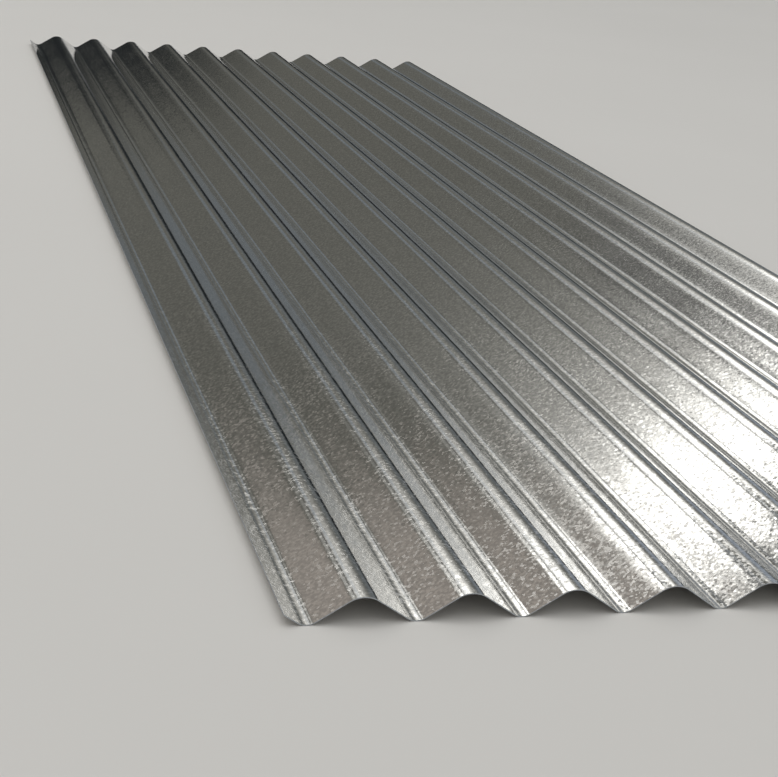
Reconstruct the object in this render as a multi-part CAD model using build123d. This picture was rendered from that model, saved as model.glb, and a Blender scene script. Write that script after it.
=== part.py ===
from build123d import *
from math import asin, atan2, cos, hypot, radians, sin
import os

# One corrugated roofing sheet, rolled from a single piece of galvanised steel.
# The sheet lies flat: waves run along Y, the width is along X, valleys rest on Z = 0.
# The origin is the middle of the sheet's footprint on the floor. Millimetres.

# Driving dimensions
length = 2440
thickness = 0.8
pitch = 76.2
wave_depth = 19.05
crest_radius = 19
valley_radius = 11
full_crests = 10
lip_length = 12
edge_turn = 12

half_pitch = pitch / 2

# Heights of the bend centres, with the underside of the valleys on the floor
valley_centre_z = thickness / 2 + valley_radius
crest_centre_z = thickness / 2 + wave_depth - crest_radius


def flank_slope():
    """Slope of the straight flank that joins a valley bend to the crest bend half a pitch away."""
    both_radii = crest_radius + valley_radius
    excess = both_radii - wave_depth
    return asin(both_radii / hypot(half_pitch, excess)) - atan2(excess, half_pitch)


def section_bends():
    """Centre X, kind (crest or valley) and the slopes in and out of every bend, left to right."""
    slope = flank_slope()
    bends = [(0, False, -slope, slope)]
    for n in range(full_crests):
        crest_x = half_pitch + n * pitch
        bends.append((crest_x, True, -slope, slope))
        bends.append((crest_x + half_pitch, False, -slope, slope))
    bends.append((half_pitch + full_crests * pitch, True, -slope, radians(edge_turn)))
    return bends


def bend_points(bend, side):
    """Five points of one bend on the upper (side 1) or lower (side -1) surface."""
    centre_x, is_crest, turn_in, turn_out = bend
    up = 1 if is_crest else -1
    centre_z = crest_centre_z if is_crest else valley_centre_z
    radius = (crest_radius if is_crest else valley_radius) + up * side * thickness / 2
    stops = [turn_in, turn_in / 2, 0, turn_out / 2, turn_out]
    return [(centre_x + radius * sin(a), centre_z + up * radius * cos(a)) for a in stops]


def surface_edges(side):
    """The bends and flanks of one surface, from the short lip to the high edge."""
    bends = [bend_points(bend, side) for bend in section_bends()]
    joint_x, joint_z = bends[0][0]
    here = (joint_x - lip_length * cos(flank_slope()), joint_z + lip_length * sin(flank_slope()))
    edges = []
    for points in bends:
        edges.append(Line(here, points[0]))
        edges.append(ThreePointArc(*points[0:3]))
        edges.append(ThreePointArc(*points[2:5]))
        here = points[4]
    return edges


def corrugated_sheet():
    """The wave section, closed at both edges, run along the sheet's length."""
    upper = surface_edges(1)
    lower = surface_edges(-1)
    lip_end = Line(upper[0] @ 0, lower[0] @ 0)
    high_edge = Line(upper[-1] @ 1, lower[-1] @ 1)
    section = make_face(upper + lower + [lip_end, high_edge])
    sheet = extrude(Plane.XZ * section, amount=length / 2, both=True)
    return Pos(-sheet.bounding_box().center().X, 0, 0) * sheet


os.makedirs("parts", exist_ok=True)
export_step(corrugated_sheet(), "parts/corrugated_sheet.step")
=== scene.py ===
"""The looks of one corrugated galvanised sheet: its rolled mesh, zinc finish, floor, light and camera."""
from math import asin, atan2, cos, hypot, pi, radians, sin

import bpy
from mathutils import Matrix, Vector


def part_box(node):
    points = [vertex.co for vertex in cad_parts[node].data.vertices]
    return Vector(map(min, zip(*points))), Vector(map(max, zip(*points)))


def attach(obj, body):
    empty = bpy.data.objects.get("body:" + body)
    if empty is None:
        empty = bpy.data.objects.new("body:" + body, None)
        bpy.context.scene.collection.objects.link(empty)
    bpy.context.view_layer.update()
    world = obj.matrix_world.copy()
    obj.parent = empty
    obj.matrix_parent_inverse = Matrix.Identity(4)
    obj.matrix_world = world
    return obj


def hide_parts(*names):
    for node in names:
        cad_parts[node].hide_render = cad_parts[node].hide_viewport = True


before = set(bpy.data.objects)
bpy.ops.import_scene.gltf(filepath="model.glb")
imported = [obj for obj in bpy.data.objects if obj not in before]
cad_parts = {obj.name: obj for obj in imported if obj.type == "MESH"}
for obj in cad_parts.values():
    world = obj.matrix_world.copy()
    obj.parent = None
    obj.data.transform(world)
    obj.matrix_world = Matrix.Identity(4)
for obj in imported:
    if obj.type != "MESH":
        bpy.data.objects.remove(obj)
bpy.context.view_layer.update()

MM = 0.001
NODE = "corrugated_sheet"

# The rolled section, as the part has it, in metres and radians
THICKNESS = 0.8 * MM
PITCH = 76.2 * MM
WAVE_DEPTH = 19.05 * MM
CREST_RADIUS = 19 * MM
VALLEY_RADIUS = 11 * MM
FULL_CRESTS = 10
LIP_LENGTH = 12 * MM
EDGE_TURN = radians(12)

# How finely the section and the length are divided
ARC_STEPS = 12
FLANK_STEPS = 4
LENGTH_STEPS = 61
SHARP_EDGE = radians(40)

# Sizes of the zinc's marks, in metres, and scales of its slow changes
FINE_SIZE = 3.0 * MM
CRYSTAL_SIZE = 2.2 * MM
COARSE_SIZE = 9 * MM
CLOUD_SCALE = 9.0
SWAY_SCALE = 6.0
ROLL_STRETCH = (500, 2.0, 500)
SHEAR_STRETCH = (700, 700, 60)

# How far the zinc's marks lean, in radians
FINE_LEAN = 0.03
CRYSTAL_LEAN = 0.014
ROLL_LEAN = 0.006
SWAY_LEAN = 0.02

# Where each pattern of the zinc begins and is full, on its own scale of 0 to 1
CLOUDS = (0.35, 0.7)
MOTTLE = (0.42, 0.66)
FROST = (0.70, 0.94)
FROST_SWING = 0.07
COARSE_SHARE = 0.15

# Frosty crystals are real spangle, but their extra share at the near end, fading over the first third of
# the length by Y, is painted glint
PAINTED_GLINT_FULL_Y = -1.22
PAINTED_GLINT_GONE_Y = -0.5
RARE_FROST = 0.15

# Roughness of clear and frosty crystals, and what the clouds add
CLEAR_ROUGHNESS = 0.08
FROSTY_ROUGHNESS = 0.31
CLOUD_ROUGHNESS = 0.03

# Colours of the metal
ZINC = (0.55, 0.55, 0.54, 1)
DULL_ZINC = (0.50, 0.505, 0.50, 1)
BRIGHT_ZINC = (0.75, 0.745, 0.73, 1)
# Colour of the frosty crystals, which also paints the glint at the near end
FROST_AND_GLINT_ZINC = (0.86, 0.85, 0.83, 1)
COARSE_ZINC = (0.50, 0.50, 0.49, 1)
DARK_CUT = (0.30, 0.33, 0.36, 1)
BRIGHT_CUT = (0.62, 0.65, 0.68, 1)

# The floor
FLOOR_REACH = 60.0
FLOOR_DARK = (0.66, 0.645, 0.62, 1)
FLOOR_PALE = (0.69, 0.675, 0.65, 1)

# Colours of the studio around the sheet
PALE_WALL = (0.50, 0.50, 0.49, 1)
WALL = (0.145, 0.144, 0.128, 1)
GREY = (0.155, 0.168, 0.172, 1)
WARM = (0.40, 0.362, 0.328, 1)
COOL = (0.36, 0.40, 0.46, 1)
BLUE = (0.19, 0.213, 0.232, 1)
DARK_POST = (0.10, 0.10, 0.10, 1)
SHADE = (0.014, 0.017, 0.019, 1)
LOW_CEILING = (0.38, 0.385, 0.385, 1)
CEILING = (1.25, 1.26, 1.26, 1)
DAYLIGHT = (1.0, 0.985, 0.95, 1)

# The window: where its glow is full, how fast that fades below, and the strength of each part
GLOW_TOP = radians(36.5)
GLOW_DEPTH = radians(3.6)
LEFT_PANE = 2.4
RIGHT_PANE = 1.8
SHEEN = 0.2
DAYLIGHT_STRENGTH = 1.05
TOP_TO_FOOT_SLOPE = 0.6
POST_COVER = 0.85

# The softbox, high on the left
SOFTBOX_TURN = radians(-70)
SOFTBOX_HEIGHT = radians(62)
SOFTBOX_DISTANCE = 5.0
SOFTBOX_SIDE = 3.2
SOFTBOX_RADIANCE = 1.15
SOFTBOX_COLOUR = (1.0, 0.99, 0.97)

# The camera's place in the sheet's frame and the way it looks
IMAGE_WIDTH = 778
FOCAL_PIXELS = 1551
SENSOR_WIDTH = 36
CAMERA_PLACE = Vector((-0.6440, -2.090, 0.4950))
CAMERA_YAW = radians(18.3)
CAMERA_PITCH = radians(19.7)
CAMERA_ROLL = radians(-6.7)


def flank_slope():
    """Slope of the straight flank that joins a valley bend to the crest bend half a pitch away."""
    both_radii = CREST_RADIUS + VALLEY_RADIUS
    excess = both_radii - WAVE_DEPTH
    return asin(both_radii / hypot(PITCH / 2, excess)) - atan2(excess, PITCH / 2)


def section_bends():
    """Centre X, kind (1 crest, -1 valley) and the slopes in and out of every bend, left to right."""
    slope = flank_slope()
    bends = [(0.0, -1, -slope, slope)]
    for n in range(FULL_CRESTS):
        crest_x = (n + 0.5) * PITCH
        bends.append((crest_x, 1, slope, -slope))
        bends.append((crest_x + PITCH / 2, -1, -slope, slope))
    bends.append(((FULL_CRESTS + 0.5) * PITCH, 1, slope, -EDGE_TURN))
    return bends


def bend_arc(bend):
    """Points (x, z, slope) along the middle of the metal in one bend."""
    centre_x, kind, slope_in, slope_out = bend
    radius = CREST_RADIUS if kind > 0 else VALLEY_RADIUS
    centre_z = THICKNESS / 2 + (WAVE_DEPTH - radius if kind > 0 else radius)
    points = []
    for i in range(ARC_STEPS + 1):
        slope = slope_in + (slope_out - slope_in) * i / ARC_STEPS
        x = centre_x - kind * radius * sin(slope)
        z = centre_z + kind * radius * cos(slope)
        points.append((x, z, slope))
    return points


def flank_points(start, end):
    """Points (x, z, slope) inside the straight run between two bends."""
    points = []
    for i in range(1, FLANK_STEPS):
        share = i / FLANK_STEPS
        x = start[0] + (end[0] - start[0]) * share
        z = start[1] + (end[1] - start[1]) * share
        points.append((x, z, start[2]))
    return points


def mid_line():
    """The whole section along the middle of the metal, from the short lip to the high edge."""
    arcs = [bend_arc(bend) for bend in section_bends()]
    joint_x, joint_z, slope = arcs[0][0]
    lip_end = (joint_x - LIP_LENGTH * cos(slope), joint_z - LIP_LENGTH * sin(slope), slope)
    points = [lip_end]
    for arc in arcs:
        points += flank_points(points[-1], arc[0]) + arc
    return points


def surface_line(points, side):
    """The upper (side 1) or lower (side -1) line of the section, half a thickness off the middle."""
    offset = side * THICKNESS / 2
    return [(x - offset * sin(slope), z + offset * cos(slope)) for x, z, slope in points]


def sheet_mesh():
    """One closed mesh: the two faces run along Y, with the cut ends and edges as material 1."""
    low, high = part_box(NODE)
    points = mid_line()
    upper = surface_line(points, 1)
    lower = surface_line(points, -1)
    shift = low.x - min(upper[0][0], lower[0][0])
    ring = upper + lower[::-1]
    count, half = len(ring), len(upper)

    vertices = []
    for j in range(LENGTH_STEPS):
        y = low.y + (high.y - low.y) * j / (LENGTH_STEPS - 1)
        vertices += [(x + shift, y, z) for x, z in ring]

    faces, cut = [], []
    for j in range(LENGTH_STEPS - 1):
        here, there = j * count, (j + 1) * count
        for i in range(count):
            k = (i + 1) % count
            faces.append((here + i, there + i, there + k, here + k))
            cut.append(i in (half - 1, count - 1))
    last = (LENGTH_STEPS - 1) * count
    for i in range(half - 1):
        near = (i, i + 1, count - 2 - i, count - 1 - i)
        faces += [near, tuple(last + v for v in reversed(near))]
        cut += [True, True]

    mesh = bpy.data.meshes.new("zinc_sheet")
    mesh.from_pydata(vertices, [], faces)
    mesh.polygons.foreach_set("material_index", [int(c) for c in cut])
    mesh.polygons.foreach_set("use_smooth", [True] * len(faces))
    mesh.set_sharp_from_angle(angle=SHARP_EDGE)
    mesh.validate()
    return mesh


class Nodes:
    """Adds nodes to one node tree: values go to sockets, and sockets are linked."""

    def __init__(self, tree):
        self.tree = tree
        tree.nodes.clear()

    def add(self, kind, inputs=None, output=0, **settings):
        """One node of that kind, and the output socket that is asked for."""
        made = self.tree.nodes.new(kind)
        for name, value in settings.items():
            setattr(made, name, value)
        for name, value in (inputs or {}).items():
            if isinstance(value, bpy.types.NodeSocket):
                self.tree.links.new(value, made.inputs[name])
            else:
                made.inputs[name].default_value = value
        return made.outputs[output] if made.outputs else made

    def math(self, operation, a, b=0.0):
        return self.add("ShaderNodeMath", {0: a, 1: b}, operation=operation)

    def product(self, first, *others):
        for other in others:
            first = self.math("MULTIPLY", first, other)
        return first

    def total(self, first, *others):
        for other in others:
            first = self.math("ADD", first, other)
        return first

    def rest_of(self, share):
        """What a share leaves of one."""
        return self.math("SUBTRACT", 1.0, share)

    def vector(self, operation, a, b=(0.0, 0.0, 0.0)):
        return self.add("ShaderNodeVectorMath", {0: a, 1: b}, operation=operation)

    def ranged(self, value, low, high, to_low, to_high, smooth=False):
        """The value carried from its own range to another one."""
        inputs = {"Value": value, "From Min": low, "From Max": high, "To Min": to_low, "To Max": to_high}
        curve = "SMOOTHSTEP" if smooth else "LINEAR"
        return self.add("ShaderNodeMapRange", inputs, interpolation_type=curve)

    def mixed(self, share, a, b):
        return self.add("ShaderNodeMix", {0: share, 6: a, 7: b}, output=2, data_type="RGBA")

    def noise(self, place, scale, detail, output=0):
        inputs = {"Vector": place, "Scale": scale, "Detail": detail}
        return self.add("ShaderNodeTexNoise", inputs, output=output)

    def cells(self, place, size):
        """A random colour for each cell of about that size, in metres."""
        return self.add("ShaderNodeTexVoronoi", {"Vector": place, "Scale": 1 / size}, output=1)

    def channel(self, colour, index):
        return self.add("ShaderNodeSeparateColor", {0: colour}, output=index)


def new_material(name):
    """A material, its empty node tree and the object's own coordinates."""
    material = bpy.data.materials.new(name)
    material.use_nodes = True
    nodes = Nodes(material.node_tree)
    return material, nodes, nodes.add("ShaderNodeTexCoord", output=3)


def add_shader(nodes, inputs):
    """The one shader of a material, with those inputs."""
    shader = nodes.add("ShaderNodeBsdfPrincipled", inputs)
    nodes.add("ShaderNodeOutputMaterial", {"Surface": shader})


def centred(nodes, colour):
    """A random colour as a vector around zero."""
    return nodes.vector("SUBTRACT", colour, (0.5, 0.5, 0.5))


def tilted(nodes, colour, tilt):
    """A lean from a random colour, cubed: small for most places and up to the tilt for a few."""
    wide = nodes.vector("MULTIPLY", centred(nodes, colour), (2.0, 2.0, 2.0))
    cubed = nodes.vector("MULTIPLY", wide, nodes.vector("MULTIPLY", wide, wide))
    return nodes.vector("MULTIPLY", cubed, (tilt, tilt, tilt))


def zinc_normal(nodes, place, fine, crystals):
    """The surface's normal, leant by the mottle, the crystals, the roll marks and a slow sway."""
    sway = nodes.noise(place, SWAY_SCALE, 1.0, output=1)
    roll = nodes.noise(nodes.vector("MULTIPLY", place, ROLL_STRETCH), 1.0, 2.0)
    leans = (
        nodes.vector("MULTIPLY", centred(nodes, fine), (FINE_LEAN, FINE_LEAN, FINE_LEAN)),
        tilted(nodes, crystals, CRYSTAL_LEAN),
        nodes.vector("MULTIPLY", centred(nodes, roll), (ROLL_LEAN, 0.0, 0.0)),
        tilted(nodes, sway, SWAY_LEAN),
    )
    normal = nodes.add("ShaderNodeNewGeometry", output=1)
    for lean in leans:
        normal = nodes.vector("ADD", normal, lean)
    return nodes.vector("NORMALIZE", normal)


def frost_and_painted_glint_share(nodes, place, crystals, cloud):
    """How frosty each crystal is: a few are, more of them in some clouds, and more at the near end as
    painted glint.
    """
    swing = nodes.ranged(cloud, *CLOUDS, -FROST_SWING, FROST_SWING)
    patchy = nodes.total(nodes.channel(crystals, 0), swing)
    along = nodes.add("ShaderNodeSeparateXYZ", {0: place}, output=1)
    # Painted glint: more frosty crystals towards the near end
    painted_glint_density = nodes.ranged(along, PAINTED_GLINT_FULL_Y, PAINTED_GLINT_GONE_Y, 1.0, RARE_FROST)
    return nodes.product(nodes.ranged(patchy, *FROST, 0.0, 1.0), painted_glint_density)


def zinc_material():
    """Bright hot-dip zinc: a soft mottle, small crystals, some frosty with more of those at the near end as
    painted glint, roll marks and dull clouds.
    """
    material, nodes, place = new_material("galvanised_zinc")
    fine = nodes.noise(place, 1 / FINE_SIZE, 1.5, output=1)
    crystals = nodes.cells(place, CRYSTAL_SIZE)
    coarse = nodes.channel(nodes.cells(place, COARSE_SIZE), 1)
    cloud = nodes.noise(place, CLOUD_SCALE, 4.0)
    frost_and_glints = frost_and_painted_glint_share(nodes, place, crystals, cloud)

    colour = nodes.mixed(nodes.ranged(cloud, *CLOUDS, 0.0, 1.0), ZINC, DULL_ZINC)
    colour = nodes.mixed(nodes.ranged(nodes.channel(fine, 1), *MOTTLE, 0.0, 1.0), colour, BRIGHT_ZINC)
    # The frosty crystals, with the painted glint at the near end
    colour = nodes.mixed(frost_and_glints, colour, FROST_AND_GLINT_ZINC)
    colour = nodes.mixed(nodes.ranged(coarse, 0.0, 1.0, 0.0, COARSE_SHARE), colour, COARSE_ZINC)
    roughness = nodes.ranged(frost_and_glints, 0.0, 1.0, CLEAR_ROUGHNESS, FROSTY_ROUGHNESS)
    roughness = nodes.total(roughness, nodes.ranged(cloud, *CLOUDS, 0.0, CLOUD_ROUGHNESS))
    normal = zinc_normal(nodes, place, fine, crystals)
    add_shader(nodes, {"Base Color": colour, "Roughness": roughness, "Normal": normal, "Metallic": 1.0})
    return material


def cut_edge_material():
    """The sheared edge: duller, bluish steel with fine marks through the thickness."""
    material, nodes, place = new_material("sheared_edge")
    shear = nodes.noise(nodes.vector("MULTIPLY", place, SHEAR_STRETCH), 1.0, 3.0)
    colour = nodes.mixed(shear, DARK_CUT, BRIGHT_CUT)
    roughness = nodes.ranged(shear, 0.2, 0.8, 0.3, 0.5)
    bump = nodes.add("ShaderNodeBump", {"Strength": 0.4, "Distance": 0.1 * MM, "Height": shear})
    add_shader(nodes, {"Base Color": colour, "Roughness": roughness, "Normal": bump, "Metallic": 1.0})
    return material


def floor_material():
    """A plain pale floor with a slow, faint mottle."""
    material, nodes, place = new_material("pale_floor")
    colour = nodes.mixed(nodes.noise(place, 1.5, 3.0), FLOOR_DARK, FLOOR_PALE)
    add_shader(nodes, {"Base Color": colour, "Roughness": 0.8})
    return material


def make_sheet():
    """The smooth sheet that stands for the CAD node."""
    mesh = sheet_mesh()
    mesh.materials.append(zinc_material())
    mesh.materials.append(cut_edge_material())
    piece = bpy.data.objects.new("zinc_sheet", mesh)
    bpy.context.scene.collection.objects.link(piece)
    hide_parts(NODE)
    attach(piece, "root")


def make_floor():
    """The floor, large enough to reach the horizon."""
    mesh = bpy.data.meshes.new("floor")
    reach = FLOOR_REACH
    corners = [(-reach, -reach, 0), (reach, -reach, 0), (reach, reach, 0), (-reach, reach, 0)]
    mesh.from_pydata(corners, [], [(0, 1, 2, 3)])
    mesh.materials.append(floor_material())
    floor = bpy.data.objects.new("floor", mesh)
    bpy.context.scene.collection.objects.link(floor)


class Studio(Nodes):
    """World nodes that go by direction: turn is the bearing from +Y to the right, height is above level."""

    def __init__(self, tree):
        super().__init__(tree)
        direction = self.add("ShaderNodeTexCoord", output=0)
        x, y, z = self.add("ShaderNodeSeparateXYZ", {0: direction}).node.outputs
        self.turn = self.math("ARCTAN2", x, y)
        self.height = self.math("ARCSINE", z)

    def eased(self, value, start, end, to_start, to_end):
        """An angle that goes smoothly to its end as the value does; all four are in degrees."""
        angles = [radians(angle) for angle in (start, end, to_start, to_end)]
        return self.ranged(value, *angles, smooth=True)

    def band(self, value, empty, full):
        """A share that is 0 up to the empty angle and 1 from the full one on, in degrees."""
        return self.ranged(value, radians(empty), radians(full), 0.0, 1.0, smooth=True)


def window_post(studio):
    """The share of each direction that the dark post in the window covers."""
    turn, band = studio.turn, studio.band
    return studio.product(band(turn, -5, -3), band(turn, -0.5, -2), POST_COVER)


def dark_band(studio):
    """The share of the dark band along the front wall, highest left of the middle and low on the right."""
    turn, height, band, eased = studio.turn, studio.height, studio.band, studio.eased
    left, middle, right = eased(turn, -5, -8, 0, 5), eased(turn, 8, 1, 0, -4), eased(turn, 24, 34, 0, 4)
    from_top = studio.total(height, middle, left, right)
    from_foot = studio.total(height, eased(turn, 2, 18, 0, 8))
    ends = studio.product(band(turn, -60, -40), band(turn, 48, 38))
    return studio.product(band(from_top, 11.5, 6.5), band(from_foot, 2, 5), ends)


def wall_colour(studio, post):
    """A front wall in soft patches, pale walls at the sides and behind, and a pale ceiling."""
    turn, height, band, product = studio.turn, studio.height, studio.band, studio.product
    warm_turn = studio.total(turn, studio.eased(height, 20, 30, 4, 0))
    low_front = product(band(height, 5, 2), band(turn, 14, 4))
    sides = studio.math("MAXIMUM", band(turn, -40, -75), band(turn, 50, 85))
    patches = (
        (GREY, product(band(turn, 10, 18), band(height, 22, 14))),
        (WARM, band(warm_turn, -11, -17)),
        (COOL, product(band(turn, 30, 37), band(height, 0, 12))),
        (BLUE, product(band(turn, 0, 3), band(turn, 10, 7), band(height, 12, 18))),
        (DARK_POST, product(post, band(height, 26, 30))),
        (SHADE, dark_band(studio)),
        (PALE_WALL, studio.math("MAXIMUM", low_front, sides)),
        (LOW_CEILING, product(band(height, 38, 43), studio.rest_of(sides))),
        (CEILING, band(height, 50, 65)),
    )
    colour = WALL
    for patch, share in patches:
        colour = studio.mixed(share, colour, patch)
    return colour


def window_light(studio, post):
    """The long window's light, which is lower on the right and far left and glows below the panes."""
    turn, height, band = studio.turn, studio.height, studio.band
    eased, product = studio.eased, studio.product
    slope = eased(turn, -2, 32, 0, 9.5)
    level = studio.total(height, slope, eased(turn, -3, -13, 0, 3))
    from_top = studio.total(height, product(slope, TOP_TO_FOOT_SLOPE))
    left_side = studio.total(turn, eased(height, 26, 34, -1.5, 0))

    below = studio.math("DIVIDE", studio.math("SUBTRACT", level, GLOW_TOP), GLOW_DEPTH)
    glow = studio.math("EXPONENT", studio.math("MINIMUM", below, 0.0))
    sheen = product(band(turn, -3, 1), band(level, 26.5, 32), SHEEN)
    pane = studio.total(product(band(turn, 0, -6), LEFT_PANE), product(band(turn, -2, 6), RIGHT_PANE))
    pane = product(pane, band(level, 35.4, 37.2))
    opening = product(band(left_side, -15, -11), band(turn, 38, 10), band(from_top, 39.3, 37.1))
    return product(studio.total(glow, sheen, pane), opening, studio.rest_of(post), DAYLIGHT_STRENGTH)


def make_world():
    """The studio around the sheet, with the window's light added to its walls."""
    world = bpy.data.worlds.new("studio")
    bpy.context.scene.world = world
    world.use_nodes = True
    studio = Studio(world.node_tree)
    post = window_post(studio)
    walls = studio.add("ShaderNodeBackground", {"Color": wall_colour(studio, post), "Strength": 1.0})
    window = studio.add("ShaderNodeBackground", {"Color": DAYLIGHT, "Strength": window_light(studio, post)})
    shown = studio.add("ShaderNodeAddShader", {0: walls, 1: window})
    studio.add("ShaderNodeOutputWorld", {"Surface": shown})


def make_softbox():
    """One large square lamp high on the left, for a soft shadow under the sheet."""
    lamp = bpy.data.lights.new("softbox", "AREA")
    lamp.shape = "RECTANGLE"
    lamp.size = lamp.size_y = SOFTBOX_SIDE
    lamp.energy = SOFTBOX_RADIANCE * SOFTBOX_SIDE ** 2 * pi
    lamp.color = SOFTBOX_COLOUR
    box = bpy.data.objects.new("softbox", lamp)
    level = cos(SOFTBOX_HEIGHT)
    outward = Vector((sin(SOFTBOX_TURN) * level, cos(SOFTBOX_TURN) * level, sin(SOFTBOX_HEIGHT)))
    box.location = outward * SOFTBOX_DISTANCE
    box.rotation_mode = "QUATERNION"
    box.rotation_quaternion = (-outward).to_track_quat("-Z", "Y")
    bpy.context.scene.collection.objects.link(box)


def make_camera():
    """The photograph's view: low, from the near left, a little rolled."""
    ahead = cos(CAMERA_PITCH)
    forward = Vector((sin(CAMERA_YAW) * ahead, cos(CAMERA_YAW) * ahead, -sin(CAMERA_PITCH)))
    level = Vector((cos(CAMERA_YAW), -sin(CAMERA_YAW), 0))
    drop = forward.cross(level)
    right = cos(CAMERA_ROLL) * level + sin(CAMERA_ROLL) * drop
    down = -sin(CAMERA_ROLL) * level + cos(CAMERA_ROLL) * drop
    data = bpy.data.cameras.new("camera")
    data.sensor_fit = "HORIZONTAL"
    data.sensor_width = SENSOR_WIDTH
    data.lens = FOCAL_PIXELS / IMAGE_WIDTH * SENSOR_WIDTH
    data.clip_start, data.clip_end = 0.02, 200
    camera = bpy.data.objects.new("camera", data)
    turn = Matrix((right, -down, -forward)).transposed()
    camera.matrix_world = Matrix.Translation(CAMERA_PLACE) @ turn.to_4x4()
    bpy.context.scene.collection.objects.link(camera)
    bpy.context.scene.camera = camera


bpy.context.scene.view_settings.view_transform = "Standard"
make_camera()
make_sheet()
make_floor()
make_world()
make_softbox()
